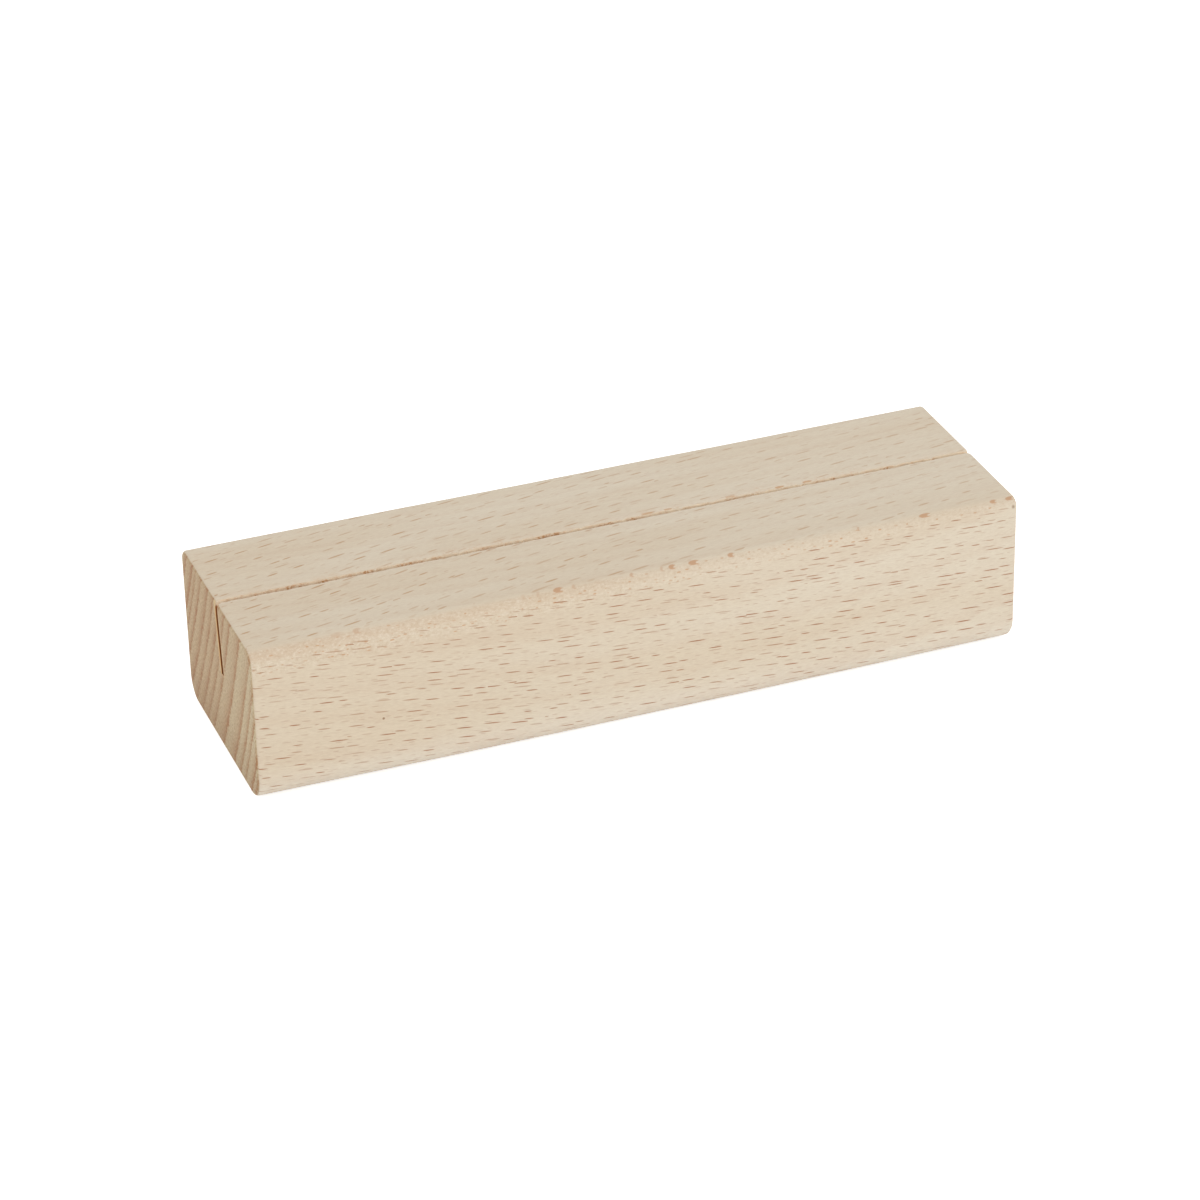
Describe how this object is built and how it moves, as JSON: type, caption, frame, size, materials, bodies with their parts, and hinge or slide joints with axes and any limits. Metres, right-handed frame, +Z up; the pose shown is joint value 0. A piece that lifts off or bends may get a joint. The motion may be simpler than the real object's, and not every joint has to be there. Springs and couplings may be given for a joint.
{
  "type": "card stand",
  "caption": "Low rectangular bar of solid beech with rounded long edges and a thin leaning saw slot along its top, which holds a card, photo or menu upright on a table.",
  "frame": {"origin": "middle of the flat face that the stand rests on", "axes": "+X along the bar, +Y to the back, which the card leans towards, +Z up"},
  "size_m": [0.12, 0.035, 0.025],
  "materials": {
    "beech": "sanded and left unvarnished"
  },
  "bodies": {
    "root": {"slotted_block": "beech"}
  },
  "joints": []
}
